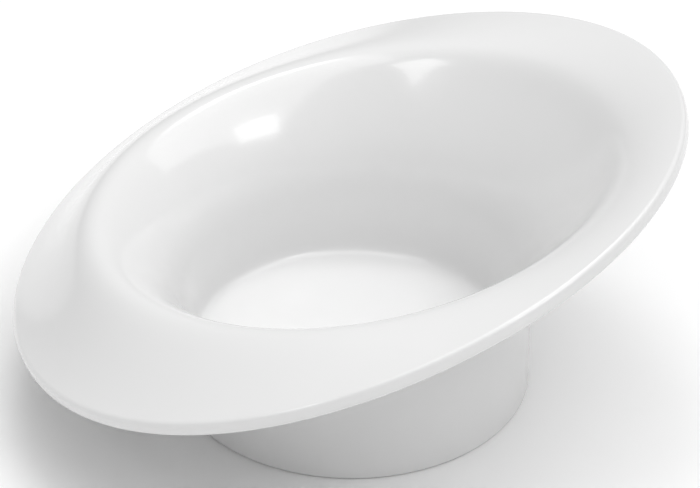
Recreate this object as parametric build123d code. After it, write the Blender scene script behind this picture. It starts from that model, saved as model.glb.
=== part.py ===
from build123d import *
import math
import os

# A white moulded bedpan: a bowl with a broad rim that tilts up to one end, set in a
# round foot skirt. Millimetres, +Z up, +X towards the rim's high end. The origin is
# on the ground, under the middle of the rim; the foot stands a little off it.

# Foot skirt
FOOT_X = 4.1                # the foot's axis
FOOT_RADIUS = 88.0
SKIRT_WALL = 3.4
SKIRT_TOP_LIMIT = 66.0      # above the seam, where the bowl's underside cuts it off
FOOT_LIP_WIDTH = 12.0       # flat ring that turns in under the skirt
FOOT_LIP_HEIGHT = 3.0
FOOT_EDGE_ROUND = 2.0

# Bowl and rim
WALL = 4.0
RIM_EDGE = 7.5              # height of the rim's outer edge, square to the rim's plane
RIM_EDGE_BULGE = 1.3        # how far it rounds outwards, flat in its middle
RIM_TILT = 19.2             # degrees
FLOOR_HEIGHT = 18.0         # top of the bowl's floor

# Control rings of the bowl's inside, from the floor out to the rim's edge. Each ring
# is nearly a circle in a tilted plane: centre x, centre z, mean radius, how much
# longer than wide it is (cosine of twice the turn), how much it comes to a point at
# the high end (cosine of three times the turn), and its tilt in degrees.
RINGS = [
    (FOOT_X, FLOOR_HEIGHT, 64.0, 0.0, 0.0, 0.0),          # flat floor
    (FOOT_X, FLOOR_HEIGHT, 76.0, 0.0, 0.0, 0.0),
    (FOOT_X, FLOOR_HEIGHT + 2.0, 81.0, 0.0, 0.0, 0.0),    # corner of the floor
    (FOOT_X, 38.0, 79.5, 0.0, 0.0, 2.0),                  # steep lower wall
    (FOOT_X + 0.2, 73.5, 86.4, 1.4, 0.0, 5.0),            # throat
    (FOOT_X + 2.0, 111.0, 118.8, 4.2, 0.0, 8.2),          # lip of the opening
    (FOOT_X - 2.5, 116.1, 128.9, 6.4, 0.0, 11.2),         # crest of the rim
    (FOOT_X - 3.5, 106.0, 152.7, 2.5, 1.8, 17.7),         # middle of the rim
    (-2.2, 101.1, 167.5, 4.1, 2.3, RIM_TILT),             # outer edge
]
THICKER_FROM = 0.6          # where, from floor 0 to edge 1, the wall starts to thicken

# Fineness of the points that the bowl's surface is passed through
WALL_ROWS = 120             # from the floor to the rim's edge, on each side
EDGE_ROWS = 12              # down the outer edge
POINTS_ROUND = 48


def spline_basis(i, degree, s, knots):
    """Value at s of B-spline basis function i."""
    if degree == 0:
        at_end = s == knots[-1] == knots[i + 1] and knots[i] < s
        return 1.0 if knots[i] <= s < knots[i + 1] or at_end else 0.0
    value = 0.0
    rising = knots[i + degree] - knots[i]
    falling = knots[i + degree + 1] - knots[i + 1]
    if rising > 0:
        value += (s - knots[i]) / rising * spline_basis(i, degree - 1, s, knots)
    if falling > 0:
        value += (knots[i + degree + 1] - s) / falling * spline_basis(i + 1, degree - 1, s, knots)
    return value


def ring_at(s):
    """The values of the ring at s, from 0 at the floor to 1 at the rim's edge."""
    degree = 3
    spans = len(RINGS) - degree
    knots = [0.0] * degree + [k / spans for k in range(spans + 1)] + [1.0] * degree
    shares = [spline_basis(i, degree, s, knots) for i in range(len(RINGS))]
    return [sum(share * ring[k] for share, ring in zip(shares, RINGS)) for k in range(6)]


def inside_point(s, turn):
    """A point of the bowl's inside, with turn in radians from the high end."""
    centre_x, centre_z, radius, longer, pointed, tilt = ring_at(s)
    radius += longer * math.cos(2 * turn) + pointed * math.cos(3 * turn)
    along = radius * math.cos(turn)
    tilt = math.radians(tilt)
    return Vector(
        centre_x + along * math.cos(tilt),
        radius * math.sin(turn),
        centre_z + along * math.sin(tilt),
    )


def rim_down():
    """Unit vector square to the rim's plane, downwards."""
    tilt = math.radians(RIM_TILT)
    return Vector(math.sin(tilt), 0, -math.cos(tilt))


def through_wall(s, turn):
    """Unit vector from the wall's inside to its outside, at inside_point(s, turn)."""
    step = 1e-4
    up_wall = inside_point(min(s + step, 1.0), turn) - inside_point(max(s - step, 0.0), turn)
    round_ring = inside_point(s, turn + step) - inside_point(s, turn - step)
    return round_ring.cross(up_wall).normalized()


def outside_point(s, turn):
    """The point of the bowl's outside that is opposite inside_point."""
    share = max(0.0, (s - THICKER_FROM) / (1.0 - THICKER_FROM)) ** 2
    across = through_wall(s, turn) * WALL * (1.0 - share) + rim_down() * RIM_EDGE * share
    return inside_point(s, turn) + across


def edge_point(down, turn):
    """A point of the rim's outer edge, with down from 0 at its top to 1 at its foot."""
    step = 1e-4
    along_edge = inside_point(1.0, turn + step) - inside_point(1.0, turn - step)
    outward = rim_down().cross(along_edge).normalized()
    bulge = RIM_EDGE_BULGE * (1.0 - abs(2.0 * down - 1.0) ** 4)
    return inside_point(1.0, turn) + rim_down() * (RIM_EDGE * down) + outward * bulge


def even_shares(count):
    """Values of s that are evenly spaced along the wall, measured at the bowl's side."""
    fine = 10 * count
    points = [inside_point(k / fine, math.pi / 2) for k in range(fine + 1)]
    reached = [0.0]
    for start, end in zip(points, points[1:]):
        reached.append(reached[-1] + (end - start).length)
    shares = [0.0]
    for k, (start, end) in enumerate(zip(reached, reached[1:])):
        while len(shares) < count and end * (count - 1) >= reached[-1] * len(shares):
            target = reached[-1] * len(shares) / (count - 1)
            shares.append((k + (target - start) / (end - start)) / fine)
    return shares


def make_bowl():
    """Bowl and rim, one moulding: up the inside, over the edge and down the outside."""
    turns = [2 * math.pi * k / POINTS_ROUND for k in range(POINTS_ROUND + 1)]
    shares = even_shares(WALL_ROWS)
    rows = [[inside_point(s, turn) for turn in turns] for s in shares]
    for k in range(1, EDGE_ROWS):
        rows.append([edge_point(k / EDGE_ROWS, turn) for turn in turns])
    for s in reversed(shares):
        rows.append([outside_point(s, turn) for turn in turns])
    wall = Face.make_surface_from_array_of_points(rows, tol=1e-2, min_deg=3, max_deg=3)
    floors = [Face(Wire([edge])) for edge in wall.edges() if edge.is_closed]
    return Solid(Shell([wall, *floors]))


def make_skirt(bowl):
    """Straight round foot, open underneath, that runs up to a seam under the bowl."""
    height = SKIRT_TOP_LIMIT
    inner_radius = FOOT_RADIUS - SKIRT_WALL
    upright = (Align.CENTER, Align.CENTER, Align.MIN)
    outer = Cylinder(FOOT_RADIUS, height, align=upright)
    outer = fillet(outer.edges().group_by(Axis.Z)[0], FOOT_EDGE_ROUND)
    hollow = Pos(0, 0, FOOT_LIP_HEIGHT) * Cylinder(inner_radius, height, align=upright)
    opening = Cylinder(inner_radius - FOOT_LIP_WIDTH, height, align=upright)
    tube = Pos(FOOT_X, 0, 0) * (outer - hollow - opening)
    pieces = (tube - bowl).solids()
    return max(pieces, key=lambda piece: piece.volume)


bowl = make_bowl()
skirt = make_skirt(bowl)

os.makedirs("parts", exist_ok=True)
export_step(bowl, "parts/bowl_and_rim.step")
export_step(skirt, "parts/foot_skirt.step")
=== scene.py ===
import math
import bpy
import numpy as np
from mathutils import Matrix, Vector


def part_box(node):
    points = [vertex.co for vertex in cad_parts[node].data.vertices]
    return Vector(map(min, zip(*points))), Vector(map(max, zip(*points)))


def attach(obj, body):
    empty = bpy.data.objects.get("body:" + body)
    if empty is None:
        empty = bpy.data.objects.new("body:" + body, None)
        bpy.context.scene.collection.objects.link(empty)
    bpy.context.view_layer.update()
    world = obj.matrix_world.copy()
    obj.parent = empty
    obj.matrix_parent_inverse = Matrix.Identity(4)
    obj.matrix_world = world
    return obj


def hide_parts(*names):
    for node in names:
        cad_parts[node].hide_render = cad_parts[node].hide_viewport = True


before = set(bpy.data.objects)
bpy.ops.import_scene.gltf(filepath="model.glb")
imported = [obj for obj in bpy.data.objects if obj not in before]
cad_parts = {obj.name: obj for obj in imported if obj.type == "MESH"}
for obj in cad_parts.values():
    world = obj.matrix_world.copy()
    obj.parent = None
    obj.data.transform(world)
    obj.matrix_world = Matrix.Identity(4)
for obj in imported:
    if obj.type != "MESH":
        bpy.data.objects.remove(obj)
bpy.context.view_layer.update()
MM = 0.001

# ---------------------------------------------------------------- sizes, in millimetres
# The foot stands a little off the middle of the rim, which is the frame's origin.
SKIRT_LOW, SKIRT_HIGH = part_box("foot_skirt")
FOOT_X = (SKIRT_LOW.x + SKIRT_HIGH.x) / 2 / MM
FOOT_RADIUS = (SKIRT_HIGH.x - SKIRT_LOW.x) / 2 / MM
SKIRT_WALL = 3.4
FOOT_LIP_WIDTH = 12.0
FOOT_LIP_HEIGHT = 3.0
FOOT_EDGE_ROUND = 2.0
LIP_ROUND = 0.5

WALL = 4.0
RIM_EDGE = 7.5
RIM_EDGE_BULGE = 1.3
RIM_TILT = 19.2
FLOOR_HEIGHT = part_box("bowl_and_rim")[0].z / MM + WALL
THICKER_FROM = 0.6

# Control rings of the bowl's inside, floor to rim edge: centre x, centre z, mean radius,
# longer than wide, pointed at the high end, tilt in degrees.
RINGS = np.array([
    (FOOT_X, FLOOR_HEIGHT, 64.0, 0.0, 0.0, 0.0),
    (FOOT_X, FLOOR_HEIGHT, 76.0, 0.0, 0.0, 0.0),
    (FOOT_X, FLOOR_HEIGHT + 2.0, 81.0, 0.0, 0.0, 0.0),
    (FOOT_X, 38.0, 79.5, 0.0, 0.0, 2.0),
    (FOOT_X + 0.2, 73.5, 86.4, 1.4, 0.0, 5.0),
    (FOOT_X + 2.0, 111.0, 118.8, 4.2, 0.0, 8.2),
    (FOOT_X - 2.5, 116.1, 128.9, 6.4, 0.0, 11.2),
    (FOOT_X - 3.5, 106.0, 152.7, 2.5, 1.8, 17.7),
    (-2.2, 101.1, 167.5, 4.1, 2.3, RIM_TILT),
])

# Square to the rim's plane, downwards
RIM_DOWN = np.array([math.sin(math.radians(RIM_TILT)), 0.0, -math.cos(math.radians(RIM_TILT))])

# Fineness of the meshes
COLUMNS = 240
WALL_ROWS = 150
EDGE_ROWS = 14
FLOOR_ROWS = 16

# ---------------------------------------------------------------- camera and light
CAMERA_ELEVATION = math.radians(34.45)
CAMERA_AZIMUTH = math.radians(4.15)
CAMERA_DISTANCE = 2112.0
CAMERA_LENS = 217.5
CAMERA_RIGHT = -1.1
CAMERA_UP = 64.1


# ---------------------------------------------------------------- the bowl's surface
def spline_shares(s):
    """Cubic B-spline weights of the control rings at each s, from 0 to 1."""
    degree = 3
    spans = len(RINGS) - degree
    knots = np.concatenate([[0.0] * degree, np.linspace(0.0, 1.0, spans + 1), [1.0] * degree])
    s = np.clip(s, 0.0, 1.0 - 1e-12)
    shares = [(s >= low) & (s < high) for low, high in zip(knots, knots[1:])]
    shares = np.array(shares, float)
    for order in range(1, degree + 1):
        raised = []
        for i in range(len(shares) - 1):
            rising = knots[i + order] - knots[i]
            falling = knots[i + order + 1] - knots[i + 1]
            value = np.zeros_like(s)
            if rising > 0:
                value = value + (s - knots[i]) / rising * shares[i]
            if falling > 0:
                value = value + (knots[i + order + 1] - s) / falling * shares[i + 1]
            raised.append(value)
        shares = np.array(raised)
    return shares


def inside_grid(s, turns):
    """Points of the bowl's inside: one row for each s, one column for each turn."""
    values = spline_shares(np.asarray(s)).T @ RINGS
    centre_x, centre_z, radius, longer, pointed, tilt = [values[:, k, None] for k in range(6)]
    tilt = np.radians(tilt)
    radius = radius + longer * np.cos(2 * turns) + pointed * np.cos(3 * turns)
    along = radius * np.cos(turns)
    return np.stack([
        centre_x + along * np.cos(tilt),
        radius * np.sin(turns) + 0.0 * tilt,
        centre_z + along * np.sin(tilt),
    ], axis=-1)


def unit(vectors):
    return vectors / np.linalg.norm(vectors, axis=-1, keepdims=True)


def through_wall(s, turns):
    """Unit vectors from the wall's inside to its outside."""
    step = 1e-4
    up_wall = inside_grid(np.minimum(s + step, 1.0), turns) - inside_grid(np.maximum(s - step, 0.0), turns)
    round_ring = inside_grid(s, turns + step) - inside_grid(s, turns - step)
    return unit(np.cross(round_ring, up_wall))


def outside_grid(s, turns):
    """Points of the bowl's outside, opposite those of inside_grid."""
    s = np.asarray(s)
    share = np.maximum(0.0, (s - THICKER_FROM) / (1.0 - THICKER_FROM))[:, None, None] ** 2
    across = through_wall(s, turns) * WALL * (1.0 - share) + RIM_DOWN * RIM_EDGE * share
    return inside_grid(s, turns) + across


def edge_grid(down, turns):
    """Points of the rim's outer edge, with down from 0 at its top to 1 at its foot."""
    step = 1e-4
    along_edge = inside_grid([1.0], turns + step) - inside_grid([1.0], turns - step)
    outward = unit(np.cross(RIM_DOWN, along_edge))
    down = np.asarray(down)[:, None, None]
    bulge = RIM_EDGE_BULGE * (1.0 - np.abs(2.0 * down - 1.0) ** 4)
    return inside_grid([1.0], turns) + RIM_DOWN * RIM_EDGE * down + outward * bulge


def even_shares(count):
    """Values of s evenly spaced along the wall, measured at the bowl's side."""
    fine = np.linspace(0.0, 1.0, 20 * count)
    side = inside_grid(fine, np.array([math.pi / 2]))[:, 0]
    steps = np.linalg.norm(np.diff(side, axis=0), axis=1)
    reached = np.concatenate([[0.0], np.cumsum(steps)])
    return np.interp(np.linspace(0.0, reached[-1], count), reached, fine)


def disc_grid(ring, rows):
    """Rows that shrink a ring towards its middle, without the middle itself."""
    middle = ring.mean(axis=0)
    shares = np.linspace(1.0, 0.0, rows + 1)[1:-1]
    return np.array([middle + (ring - middle) * share for share in shares])


def mesh_from_rows(name, rows, close_start, close_end):
    """A smooth mesh through rows of points, each row a closed ring, in millimetres."""
    count, columns = rows.shape[:2]
    points = list(rows.reshape(-1, 3) * MM)
    faces = []
    for row in range(count - 1):
        for column in range(columns):
            after = (column + 1) % columns
            low, high = row * columns, (row + 1) * columns
            faces.append((low + column, low + after, high + after, high + column))
    for wanted, row in ((close_start, 0), (close_end, count - 1)):
        if wanted:
            points.append(rows[row].mean(axis=0) * MM)
            tip = len(points) - 1
            ring = [row * columns + column for column in range(columns)]
            for here, after in zip(ring, ring[1:] + ring[:1]):
                faces.append((after, here, tip) if row == 0 else (here, after, tip))
    mesh = bpy.data.meshes.new(name)
    mesh.from_pydata([tuple(point) for point in points], [], faces)
    mesh.shade_smooth()
    mesh.update()
    piece = bpy.data.objects.new(name, mesh)
    bpy.context.scene.collection.objects.link(piece)
    return piece


def make_bowl():
    turns = np.linspace(0.0, 2 * math.pi, COLUMNS, endpoint=False)
    shares = even_shares(WALL_ROWS)
    inside = inside_grid(shares, turns)
    edge = edge_grid(np.linspace(0.0, 1.0, EDGE_ROWS + 1)[1:-1], turns)
    outside = outside_grid(shares[::-1], turns)
    rows = np.concatenate([
        disc_grid(inside[0], FLOOR_ROWS)[::-1],
        inside,
        edge,
        outside,
        disc_grid(outside[-1], FLOOR_ROWS),
    ])
    return mesh_from_rows("bowl_shell", rows, True, True)


def seam_heights(radius, turns):
    """How high the bowl's outside is where it stands this far from the foot's axis."""
    grid = outside_grid(np.linspace(0.25, 0.7, 300), turns)
    offset = grid[..., :2] - np.array([FOOT_X, 0.0])
    away = np.hypot(offset[..., 0], offset[..., 1])
    bearings, heights = [], []
    for column in range(len(turns)):
        order = np.argsort(away[:, column])
        heights.append(np.interp(radius, away[order, column], grid[order, column, 2]))
        row = np.argmin(np.abs(away[:, column] - radius))
        bearings.append(math.atan2(offset[row, column, 1], offset[row, column, 0]))
    return np.interp(turns, bearings, heights, period=2 * math.pi)


def make_skirt():
    """The foot: up the outside to the seam, down the bowl and the inside, over the lip."""
    turns = np.linspace(0.0, 2 * math.pi, COLUMNS, endpoint=False)
    inner = FOOT_RADIUS - SKIRT_WALL

    def ring(radius, height):
        return np.stack([
            FOOT_X + radius * np.cos(turns),
            radius * np.sin(turns),
            height + 0.0 * turns,
        ], axis=-1)

    outer_seam = seam_heights(FOOT_RADIUS, turns)
    inner_seam = seam_heights(inner, turns)
    lip_end = inner - FOOT_LIP_WIDTH
    rows = [ring(lip_end, FOOT_LIP_HEIGHT - LIP_ROUND), ring(lip_end, LIP_ROUND)]
    rows.append(ring(lip_end + LIP_ROUND, 0.0))
    for radius in np.linspace(lip_end + 1.5, FOOT_RADIUS - FOOT_EDGE_ROUND, 8):
        rows.append(ring(radius, 0.0))
    for angle in np.linspace(0.0, math.pi / 2, 9)[1:]:
        rows.append(ring(
            FOOT_RADIUS - FOOT_EDGE_ROUND * (1 - math.sin(angle)),
            FOOT_EDGE_ROUND * (1 - math.cos(angle)),
        ))
    for share in np.linspace(0.0, 1.0, 24)[1:]:
        rows.append(ring(FOOT_RADIUS, FOOT_EDGE_ROUND + (outer_seam - FOOT_EDGE_ROUND) * share))
    for radius in np.linspace(FOOT_RADIUS, inner, 6)[1:-1]:
        rows.append(ring(radius, seam_heights(radius, turns)))
    for share in np.linspace(0.0, 1.0, 16):
        rows.append(ring(inner, inner_seam + (FOOT_LIP_HEIGHT - inner_seam) * share))
    for radius in np.linspace(inner - 2.0, lip_end + LIP_ROUND, 6):
        rows.append(ring(radius, FOOT_LIP_HEIGHT))
    rows.append(rows[0])
    return mesh_from_rows("skirt_shell", np.array(rows), False, False)


# ---------------------------------------------------------------- materials
def moulded_white(name, colour, roughness):
    """Glossy moulded white plastic with a faint mottle, fine ripple and rubbed edges."""
    material = bpy.data.materials.new(name)
    material.use_nodes = True
    tree = material.node_tree
    nodes, links = tree.nodes, tree.links
    shader = nodes["Principled BSDF"]
    shader.inputs["IOR"].default_value = 1.50
    shader.inputs["Coat Weight"].default_value = 0.35
    shader.inputs["Coat Roughness"].default_value = 0.06
    place = nodes.new("ShaderNodeTexCoord")

    mottle = nodes.new("ShaderNodeTexNoise")
    mottle.inputs["Scale"].default_value = 9.0
    mottle.inputs["Detail"].default_value = 5.0
    links.new(place.outputs["Object"], mottle.inputs["Vector"])
    tint = nodes.new("ShaderNodeValToRGB")
    tint.color_ramp.elements[0].position = 0.30
    tint.color_ramp.elements[0].color = (*[c * 0.975 for c in colour], 1)
    tint.color_ramp.elements[1].position = 0.70
    tint.color_ramp.elements[1].color = (*colour, 1)
    links.new(mottle.outputs["Fac"], tint.inputs["Fac"])

    edges = nodes.new("ShaderNodeNewGeometry")
    rubbed = nodes.new("ShaderNodeMapRange")
    rubbed.inputs["From Min"].default_value = 0.52
    rubbed.inputs["From Max"].default_value = 0.62
    links.new(edges.outputs["Pointiness"], rubbed.inputs["Value"])
    worn = nodes.new("ShaderNodeMixRGB")
    worn.inputs["Color2"].default_value = (*[c * 0.93 for c in colour], 1)
    links.new(rubbed.outputs["Result"], worn.inputs["Fac"])
    links.new(tint.outputs["Color"], worn.inputs["Color1"])
    links.new(worn.outputs["Color"], shader.inputs["Base Color"])

    haze = nodes.new("ShaderNodeTexNoise")
    haze.inputs["Scale"].default_value = 26.0
    haze.inputs["Detail"].default_value = 6.0
    links.new(place.outputs["Object"], haze.inputs["Vector"])
    gloss = nodes.new("ShaderNodeMapRange")
    gloss.inputs["From Min"].default_value = 0.3
    gloss.inputs["From Max"].default_value = 0.7
    gloss.inputs["To Min"].default_value = roughness - 0.03
    gloss.inputs["To Max"].default_value = roughness + 0.05
    links.new(haze.outputs["Fac"], gloss.inputs["Value"])
    links.new(gloss.outputs["Result"], shader.inputs["Roughness"])

    ripple = nodes.new("ShaderNodeTexNoise")
    ripple.inputs["Scale"].default_value = 60.0
    ripple.inputs["Detail"].default_value = 3.0
    links.new(place.outputs["Object"], ripple.inputs["Vector"])
    bump = nodes.new("ShaderNodeBump")
    bump.inputs["Strength"].default_value = 0.05
    bump.inputs["Distance"].default_value = 0.0004
    links.new(ripple.outputs["Fac"], bump.inputs["Height"])
    links.new(bump.outputs["Normal"], shader.inputs["Normal"])
    return material


def stage_white(name, grey):
    material = bpy.data.materials.new(name)
    material.use_nodes = True
    shader = material.node_tree.nodes["Principled BSDF"]
    shader.inputs["Base Color"].default_value = (grey, grey, grey, 1)
    shader.inputs["Roughness"].default_value = 0.9
    return material


# ---------------------------------------------------------------- stage, light, camera
def aim(thing, location, target):
    thing.location = location
    thing.rotation_euler = (target - location).to_track_quat("-Z", "Y").to_euler()


def add_light(name, size_x, size_y, power, location, target):
    data = bpy.data.lights.new(name, "AREA")
    data.shape = "RECTANGLE"
    data.size, data.size_y = size_x, size_y
    data.energy = power
    lamp = bpy.data.objects.new(name, data)
    bpy.context.scene.collection.objects.link(lamp)
    aim(lamp, Vector(location), Vector(target))
    return lamp


def make_stage():
    size = 6.0
    mesh = bpy.data.meshes.new("floor")
    corners = [(-size, -size, 0), (size, -size, 0), (size, size, 0), (-size, size, 0)]
    mesh.from_pydata(corners, [], [(0, 1, 2, 3)])
    mesh.materials.append(stage_white("floor_white", 0.93))
    floor = bpy.data.objects.new("floor", mesh)
    bpy.context.scene.collection.objects.link(floor)

    world = bpy.data.worlds.new("studio")
    world.use_nodes = True
    world.node_tree.nodes["Background"].inputs["Color"].default_value = (1, 1, 1, 1)
    world.node_tree.nodes["Background"].inputs["Strength"].default_value = 0.50
    bpy.context.scene.world = world

    middle = (0.0, 0.0, 0.08)
    add_light("ceiling", 3.0, 3.0, 42.0, (0.5, -0.1, 2.4), middle)
    add_light("softbox_left", 0.46, 0.34, 1.9, (-0.90, -0.80, 1.40), middle)
    add_light("softbox_right", 0.62, 0.34, 2.9, (0.95, -0.80, 1.50), middle)
    add_light("softbox_back", 0.56, 0.30, 3.4, (-0.12, 0.62, 1.60), middle)


def make_camera():
    azimuth, elevation = CAMERA_AZIMUTH, CAMERA_ELEVATION
    back = Vector((
        math.sin(azimuth) * math.cos(elevation),
        -math.cos(azimuth) * math.cos(elevation),
        math.sin(elevation),
    ))
    right = Vector((math.cos(azimuth), math.sin(azimuth), 0.0))
    up = back.cross(right)
    data = bpy.data.cameras.new("camera")
    data.lens = CAMERA_LENS
    data.sensor_width = 36.0
    camera = bpy.data.objects.new("camera", data)
    bpy.context.scene.collection.objects.link(camera)
    place = back * CAMERA_DISTANCE + right * CAMERA_RIGHT + up * CAMERA_UP
    place = (place + Vector((FOOT_X, 0.0, 0.0))) * MM
    turn = Matrix((right, up, back)).transposed().to_4x4()
    camera.matrix_world = Matrix.Translation(place) @ turn
    bpy.context.scene.camera = camera


# ---------------------------------------------------------------- build
make_camera()
make_stage()

bowl = make_bowl()
bowl.data.materials.append(moulded_white("bowl_plastic", (0.765, 0.765, 0.765), 0.16))
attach(bowl, "root")
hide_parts("bowl_and_rim")

skirt = make_skirt()
# The foot's white (0.75) is a little darker than the bowl's (0.765): painted shade for the foot standing
# under the rim; the plastic is the same.
skirt.data.materials.append(moulded_white("skirt_plastic", (0.75, 0.75, 0.75), 0.22))
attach(skirt, "root")
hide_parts("foot_skirt")

bpy.context.scene.view_settings.view_transform = "Standard"
